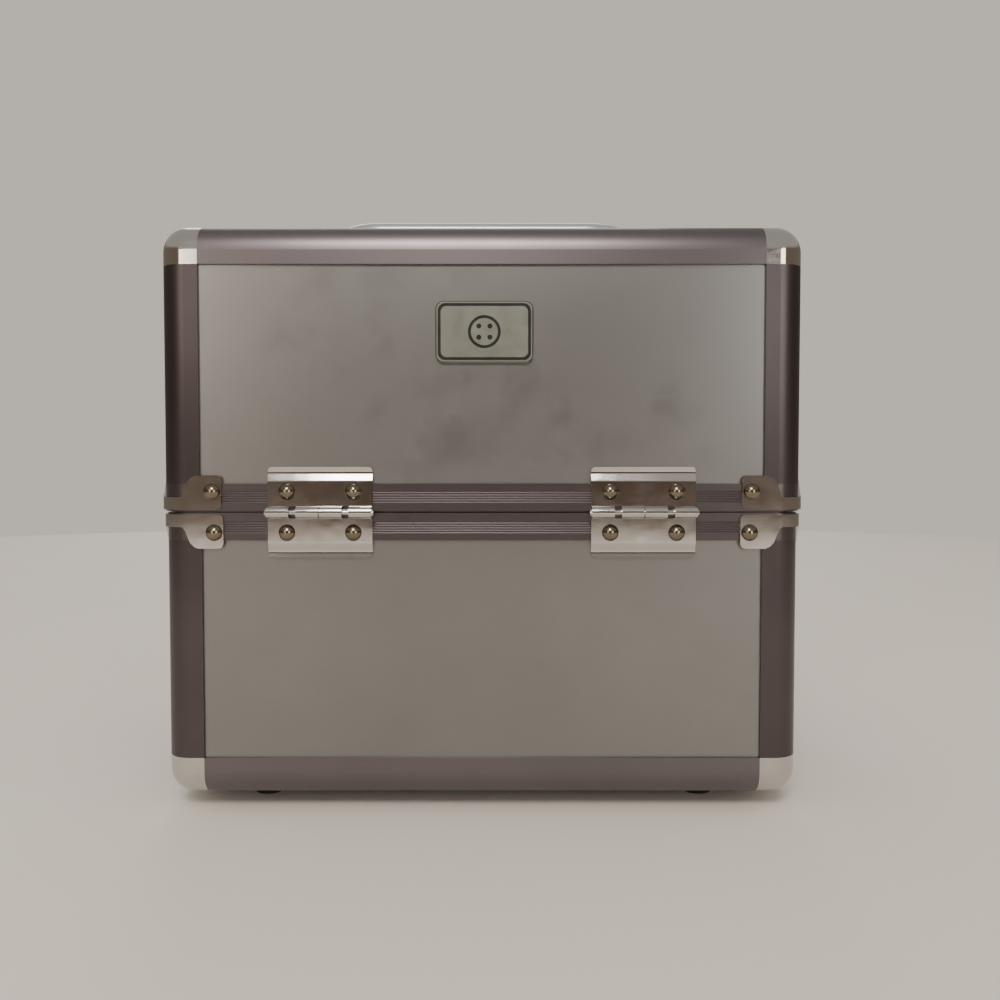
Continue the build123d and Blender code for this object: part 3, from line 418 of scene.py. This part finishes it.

# ---------------------------------------------------------------- corner caps, brackets, hinges and rivets
# Corner caps, rim brackets, hinge leaves and handle mounts, pressed from steel, polished and bright chrome
# plated. Domed nickel-plated steel rivets hold the brackets, hinges and mounts on; their colour is darkened
# as painted shade.


def bright_chrome_plate():
    """Chrome over a polished pressing: a mirror that thin scratches and a slight waviness break up."""
    material, tree, position = new_material("bright_chrome_on_steel")
    wave_size = 9 * MM
    wave_depth = 0.2 * MM
    haze_size = 8 * MM
    scratch_width = 0.3 * MM
    scratch_length = 7.5 * MM
    scratch_slant = (0.4, 0.7, 0.5)
    scratch_stretch = (scratch_width / scratch_length, 1, 1)
    wave = add_node(tree, "ShaderNodeTexNoise", {"Vector": position, "Scale": 1 / wave_size, "Detail": 1.0})
    slanted = add_node(
        tree, "ShaderNodeMapping", {"Vector": position, "Rotation": scratch_slant, "Scale": scratch_stretch}
    )
    scratches = add_node(
        tree, "ShaderNodeTexNoise", {"Vector": slanted, "Scale": 1 / scratch_width, "Detail": 1.0}
    )
    haze = add_node(
        tree,
        "ShaderNodeTexNoise",
        {"Vector": position, "Scale": 1 / haze_size, "Detail": 3.0, "Roughness": 0.6},
    )
    tint = add_node(
        tree,
        "ShaderNodeMix",
        {"Factor": haze, "A": colour("#CAC8C6"), "B": colour("#BAB7B3")},
        data_type="RGBA",
    )
    wear = add_node(tree, "ShaderNodeMath", {0: scratches, 1: 0.5, 2: haze}, operation="MULTIPLY_ADD")
    shader = add_node(
        tree,
        "ShaderNodeBsdfPrincipled",
        {
            "Base Color": tint,
            "Metallic": 1.0,
            "Roughness": add_node(
                tree, "ShaderNodeMapRange", {"Value": wear, "To Min": 0.02, "To Max": 0.13}
            ),
            "Normal": add_node(
                tree, "ShaderNodeBump", {"Height": wave, "Strength": 0.12, "Distance": wave_depth}
            ),
        },
    )
    add_node(tree, "ShaderNodeOutputMaterial", {"Surface": shader})
    return material


def satin_plate(name, light, dark, smoothest, roughest, grain_size, grain_depth, mark_size):
    """A barrel-plated metal: a fine grain dulls it, and marks vary its colour and gloss."""
    material, tree, position = new_material(name)
    grain = add_node(
        tree, "ShaderNodeTexNoise", {"Vector": position, "Scale": 1 / grain_size, "Detail": 3.0}
    )
    marks = add_node(
        tree,
        "ShaderNodeTexNoise",
        {"Vector": position, "Scale": 1 / mark_size, "Detail": 4.0, "Roughness": 0.6},
    )
    tint = add_node(
        tree, "ShaderNodeMix", {"Factor": marks, "A": colour(light), "B": colour(dark)}, data_type="RGBA"
    )
    wear = add_node(tree, "ShaderNodeMath", {0: grain, 1: marks}, operation="MULTIPLY")
    shader = add_node(
        tree,
        "ShaderNodeBsdfPrincipled",
        {
            "Base Color": tint,
            "Metallic": 1.0,
            "Roughness": add_node(
                tree, "ShaderNodeMapRange", {"Value": wear, "To Min": smoothest, "To Max": roughest}
            ),
            "Normal": add_node(
                tree, "ShaderNodeBump", {"Height": grain, "Strength": 0.5, "Distance": grain_depth}
            ),
        },
    )
    add_node(tree, "ShaderNodeOutputMaterial", {"Surface": shader})
    return material


bright_chrome = bright_chrome_plate()
# The rivets are plain nickel, coloured dark and brown all over: painted shade and a painted reflection of a
# dim warm room.
painted_shade_nickel = satin_plate(
    "painted_shade_nickel_on_steel",
    "#8A806F",
    "#6F665A",
    smoothest=0.14,
    roughest=0.3,
    grain_size=0.3 * MM,
    grain_depth=0.01 * MM,
    mark_size=4 * MM,
)
for half in ("base", "lid"):
    dress(bright_chrome, f"{half}_corner_caps", f"{half}_rim_brackets")
    dress(bright_chrome, f"hinge_leaf_{half}_left", f"hinge_leaf_{half}_right")
    dress(painted_shade_nickel, f"{half}_rivets")
dress(bright_chrome, "hinge_pins", "handle_mount_left", "handle_mount_right")
dress(painted_shade_nickel, "handle_rivets", "foot_rivets")

# ---------------------------------------------------------------- badge
# A small stamped aluminium plate with a line round its edge and a plain sewing button in its middle, both
# filled with black enamel. It is glued to the lid's rear panel.


def enamelled_plate():
    """Stamped aluminium, satin finished: soft and even, with matt black enamel in whatever is stamped in."""
    material, tree, position = new_material("stamped_aluminium_with_black_enamel")
    grain_size = 0.3 * MM
    grain_depth = 0.015 * MM
    mark_size = 6 * MM
    stamped_below = 0.3 * MM
    bevel = 0.6 * MM
    low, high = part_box("badge")
    grain = add_node(
        tree, "ShaderNodeTexNoise", {"Vector": position, "Scale": 1 / grain_size, "Detail": 3.0}
    )
    marks = add_node(tree, "ShaderNodeTexNoise", {"Vector": position, "Scale": 1 / mark_size, "Detail": 3.0})
    parts = add_node(tree, "ShaderNodeSeparateXYZ", {"Vector": position}).outputs
    enamel = add_node(
        tree, "ShaderNodeMath", {0: parts["Y"], 1: high[1] - stamped_below}, operation="LESS_THAN"
    )
    # The bevelled border lies as low as the enamel, but stays bare.
    for axis, name in ((0, "X"), (2, "Z")):
        middle = (low[axis] + high[axis]) / 2
        half_width = (high[axis] - low[axis]) / 2 - bevel
        on_face = add_node(
            tree, "ShaderNodeMath", {0: parts[name], 1: middle, 2: half_width}, operation="COMPARE"
        )
        enamel = add_node(tree, "ShaderNodeMath", {0: enamel, 1: on_face}, operation="MULTIPLY")
    satin = add_node(
        tree,
        "ShaderNodeMix",
        {"Factor": marks, "A": colour("#90938B"), "B": colour("#7C7F78")},
        data_type="RGBA",
    )
    tint = add_node(
        tree, "ShaderNodeMix", {"Factor": enamel, "A": satin, "B": colour("#0E0E0F")}, data_type="RGBA"
    )
    shader = add_node(
        tree,
        "ShaderNodeBsdfPrincipled",
        {
            "Base Color": tint,
            "Metallic": add_node(tree, "ShaderNodeMath", {0: 1.0, 1: enamel}, operation="SUBTRACT"),
            "Roughness": add_node(
                tree, "ShaderNodeMapRange", {"Value": marks, "To Min": 0.28, "To Max": 0.5}
            ),
            "Normal": add_node(
                tree, "ShaderNodeBump", {"Height": grain, "Strength": 0.4, "Distance": grain_depth}
            ),
        },
    )
    add_node(tree, "ShaderNodeOutputMaterial", {"Surface": shader})
    return material


dress(enamelled_plate(), "badge")

# ---------------------------------------------------------------- handle
# A bow moulded in ABS and sprayed silver, with an eye at the end of each arm. Each eye turns on the pin of a
# mount that is riveted to the lid's top panel.


def silver_lacquer():
    """Metallic lacquer on ABS: fine flakes sparkle under a clear coat with a slight orange peel."""
    material, tree, position = new_material("abs_with_silver_metallic_lacquer")
    # The flakes are drawn several times their real size, so that they show.
    flake_size = 0.35 * MM
    wear_size = 12 * MM
    peel_size = 1.6 * MM
    peel_depth = 0.06 * MM
    flakes = add_node(tree, "ShaderNodeTexVoronoi", {"Vector": position, "Scale": 1 / flake_size})
    wear = add_node(
        tree,
        "ShaderNodeTexNoise",
        {"Vector": position, "Scale": 1 / wear_size, "Detail": 4.0, "Roughness": 0.65},
    )
    peel = add_node(tree, "ShaderNodeTexNoise", {"Vector": position, "Scale": 1 / peel_size, "Detail": 1.0})
    tint = add_node(
        tree,
        "ShaderNodeMix",
        {"Factor": wear, "A": colour("#BAC6CE"), "B": colour("#A3AFB8")},
        data_type="RGBA",
    )
    glint = add_node(
        tree, "ShaderNodeMapRange", {"Value": flakes.outputs["Distance"], "To Min": 0.3, "To Max": 0.0}
    )
    sparkle = add_node(
        tree, "ShaderNodeMix", {"Factor": glint, "A": tint, "B": colour("#E4E8EE")}, data_type="RGBA"
    )
    shader = add_node(
        tree,
        "ShaderNodeBsdfPrincipled",
        {
            "Base Color": sparkle,
            "Metallic": 0.75,
            "Roughness": add_node(
                tree, "ShaderNodeMapRange", {"Value": wear, "To Min": 0.2, "To Max": 0.42}
            ),
            "Coat Weight": 0.5,
            "Coat Roughness": 0.12,
            "Normal": add_node(
                tree, "ShaderNodeBump", {"Height": peel, "Strength": 0.2, "Distance": peel_depth}
            ),
        },
    )
    add_node(tree, "ShaderNodeOutputMaterial", {"Surface": shader})
    return material


dress(silver_lacquer(), "handle")

# ---------------------------------------------------------------- locks
# Steel cases riveted to the base's front rim, and catches riveted above them to the lid's, all bright
# chrome. The thumb slider and the key barrel in each case are brass under satin nickel, warmer and duller.

satin_nickel = satin_plate(
    "satin_nickel_on_brass",
    "#CFC6B8",
    "#B5AC9E",
    smoothest=0.22,
    roughest=0.38,
    grain_size=0.2 * MM,
    grain_depth=0.01 * MM,
    mark_size=5 * MM,
)
for side in ("left", "right"):
    dress(bright_chrome, f"lock_case_{side}", f"lock_catch_{side}")
    dress(satin_nickel, f"lock_slider_{side}", f"key_barrel_{side}")

# ---------------------------------------------------------------- trays and their arms
# Two black ABS trays with moulded compartments. Each turns on plates fixed inside the lid, and rests in
# front on two flat arms, which turn on plates fixed inside the base. Arms and plates are zinc-plated steel.


def grained_abs():
    """ABS from a spark-eroded mould, whose fine leathery grain makes it shine only softly."""
    material, tree, position = new_material("abs_moulded_black_grained")
    grain_size = 0.8 * MM
    grain_depth = 0.08 * MM
    haze_size = 30 * MM
    grain = add_node(
        tree, "ShaderNodeTexVoronoi", {"Vector": position, "Scale": 1 / grain_size}, feature="SMOOTH_F1"
    )
    haze = add_node(
        tree,
        "ShaderNodeTexNoise",
        {"Vector": position, "Scale": 1 / haze_size, "Detail": 3.0, "Roughness": 0.6},
    )
    tint = add_node(
        tree,
        "ShaderNodeMix",
        {"Factor": haze, "A": colour("#2B2B2C"), "B": colour("#363637")},
        data_type="RGBA",
    )
    bump = add_node(
        tree,
        "ShaderNodeBump",
        {"Height": grain.outputs["Distance"], "Strength": 0.4, "Distance": grain_depth},
    )
    shader = add_node(
        tree,
        "ShaderNodeBsdfPrincipled",
        {
            "Base Color": tint,
            "Roughness": add_node(
                tree, "ShaderNodeMapRange", {"Value": haze, "To Min": 0.42, "To Max": 0.6}
            ),
            "Normal": bump,
        },
    )
    add_node(tree, "ShaderNodeOutputMaterial", {"Surface": shader})
    return material


dress(grained_abs(), "tray_upper", "tray_lower")
zinc = satin_plate(
    "zinc_plated_steel",
    "#B9BBBC",
    "#9C9EA0",
    smoothest=0.25,
    roughest=0.5,
    grain_size=0.4 * MM,
    grain_depth=0.02 * MM,
    mark_size=6 * MM,
)
for side in ("left", "right"):
    dress(zinc, f"tray_plate_base_{side}", f"tray_plate_lid_{side}")
    dress(zinc, f"tray_arm_upper_{side}", f"tray_arm_lower_{side}")

# ---------------------------------------------------------------- feet
# Four low round feet moulded in black rubber. Each is held by a rivet that goes up through its middle into
# the bottom panel.


def moulded_rubber():
    """Moulded rubber, matt and a little dusty, with a skin that isn't quite even."""
    material, tree, position = new_material("moulded_rubber_black")
    dust_size = 3 * MM
    skin_depth = 0.1 * MM
    dust = add_node(
        tree,
        "ShaderNodeTexNoise",
        {"Vector": position, "Scale": 1 / dust_size, "Detail": 4.0, "Roughness": 0.7},
    )
    tint = add_node(
        tree,
        "ShaderNodeMix",
        {"Factor": dust, "A": colour("#161616"), "B": colour("#2C2B2A")},
        data_type="RGBA",
    )
    shader = add_node(
        tree,
        "ShaderNodeBsdfPrincipled",
        {
            "Base Color": tint,
            "Roughness": add_node(
                tree, "ShaderNodeMapRange", {"Value": dust, "To Min": 0.7, "To Max": 0.9}
            ),
            "Normal": add_node(
                tree, "ShaderNodeBump", {"Height": dust, "Strength": 0.3, "Distance": skin_depth}
            ),
        },
    )
    add_node(tree, "ShaderNodeOutputMaterial", {"Surface": shader})
    return material


dress(moulded_rubber(), "feet")

# ---------------------------------------------------------------- floor, light and camera
# A plain pale studio: a wide round floor in matt paint, and a pale surround. Three soft boxes stand on the
# hinges' side, overhead and to each side, and one on the locks' side. The camera looks at the hinges.


def matt_paint():
    """Rolled matt paint, even but for a faint mottle."""
    material, tree, position = new_material("pale_matt_floor_paint")
    mottle_size = 400 * MM
    mottle = add_node(
        tree, "ShaderNodeTexNoise", {"Vector": position, "Scale": 1 / mottle_size, "Detail": 2.0}
    )
    tint = add_node(
        tree,
        "ShaderNodeMix",
        {"Factor": mottle, "A": colour("#E4E0D9"), "B": colour("#DEDAD3")},
        data_type="RGBA",
    )
    shader = add_node(tree, "ShaderNodeBsdfPrincipled", {"Base Color": tint, "Roughness": 0.75})
    add_node(tree, "ShaderNodeOutputMaterial", {"Surface": shader})
    return material


floor_radius = 1.6
floor_corners = 128
floor_rim = []
for i in range(floor_corners):
    turn = Matrix.Rotation(math.tau * i / floor_corners, 3, "Z")
    floor_rim.append(turn @ Vector((floor_radius, 0, 0)))
floor_mesh = bpy.data.meshes.new("floor")
floor_mesh.from_pydata(floor_rim, [], [range(floor_corners)])
floor_mesh.materials.append(matt_paint())
floor = bpy.data.objects.new("floor", floor_mesh)
bpy.context.scene.collection.objects.link(floor)


def light_surround():
    """A plain pale surround. Reflections alone see a room, with dim warm walls and a light ceiling."""
    world = bpy.data.worlds.new("pale_surround")
    bpy.context.scene.world = world
    world.use_nodes = True
    tree = world.node_tree
    tree.nodes.clear()
    way = add_node(tree, "ShaderNodeTexCoord").outputs["Generated"]
    parts = add_node(tree, "ShaderNodeSeparateXYZ", {"Vector": way}).outputs
    ceiling_share = add_node(
        tree,
        "ShaderNodeMapRange",
        {"Value": parts["Z"], "From Min": 0.27, "From Max": 0.42},
        interpolation_type="SMOOTHSTEP",
    )
    nearness = add_node(tree, "ShaderNodeMapRange", {"Value": parts["Y"], "From Min": -0.5, "From Max": 0.7})
    off_middle = add_node(tree, "ShaderNodeMath", {0: parts["X"]}, operation="ABSOLUTE")
    side_share = add_node(
        tree, "ShaderNodeMapRange", {"Value": off_middle, "From Min": 0.05, "From Max": 0.4}
    )
    near_wall = add_node(
        tree,
        "ShaderNodeMix",
        {"Factor": side_share, "A": colour("#5F493B"), "B": colour("#8F7C6C")},
        data_type="RGBA",
    )
    walls = add_node(
        tree, "ShaderNodeMix", {"Factor": nearness, "A": colour("#8F867A"), "B": near_wall}, data_type="RGBA"
    )
    room = add_node(
        tree,
        "ShaderNodeMix",
        {"Factor": ceiling_share, "A": walls, "B": colour("#D3CDC4")},
        data_type="RGBA",
    )
    mirrored = add_node(tree, "ShaderNodeLightPath").outputs["Is Glossy Ray"]
    tone = add_node(
        tree, "ShaderNodeMix", {"Factor": mirrored, "A": colour("#EDE2D4"), "B": room}, data_type="RGBA"
    )
    background = add_node(tree, "ShaderNodeBackground", {"Color": tone, "Strength": 0.75})
    add_node(tree, "ShaderNodeOutputWorld", {"Surface": background})


def soft_box(name, place, aim, size, power, tint):
    """A square soft box that faces a point."""
    lamp = bpy.data.lights.new(name, "AREA")
    lamp.size = size
    lamp.energy = power
    lamp.color = colour(tint)[:3]
    holder = bpy.data.objects.new(name, lamp)
    holder.location = place
    holder.rotation_euler = (Vector(aim) - Vector(place)).to_track_quat("-Z", "Y").to_euler()
    bpy.context.scene.collection.objects.link(holder)


light_surround()
case_middle = (0, 0, 0.12)
soft_box("overhead", (0.1, 1.5, 1.35), case_middle, size=0.6, power=22, tint="#FFF6EE")
soft_box("left_side", (0.95, 1.9, 0.62), case_middle, size=0.6, power=5, tint="#FFF1E2")
soft_box("right_side", (-0.95, 1.8, 0.5), case_middle, size=0.6, power=6, tint="#FFFAF2")
soft_box("far_side", (0.2, -1.7, 1.2), case_middle, size=1.2, power=10, tint="#FFFFFF")

look_down = math.radians(2.2)
camera_data = bpy.data.cameras.new("camera")
camera_data.lens = 36.0
camera_data.sensor_width = 36.0
camera = bpy.data.objects.new("camera", camera_data)
camera.location = (-0.0069, 0.4700, 0.1352)
camera.rotation_euler = (math.pi / 2 - look_down, 0, math.pi)
bpy.context.scene.collection.objects.link(camera)
bpy.context.scene.camera = camera
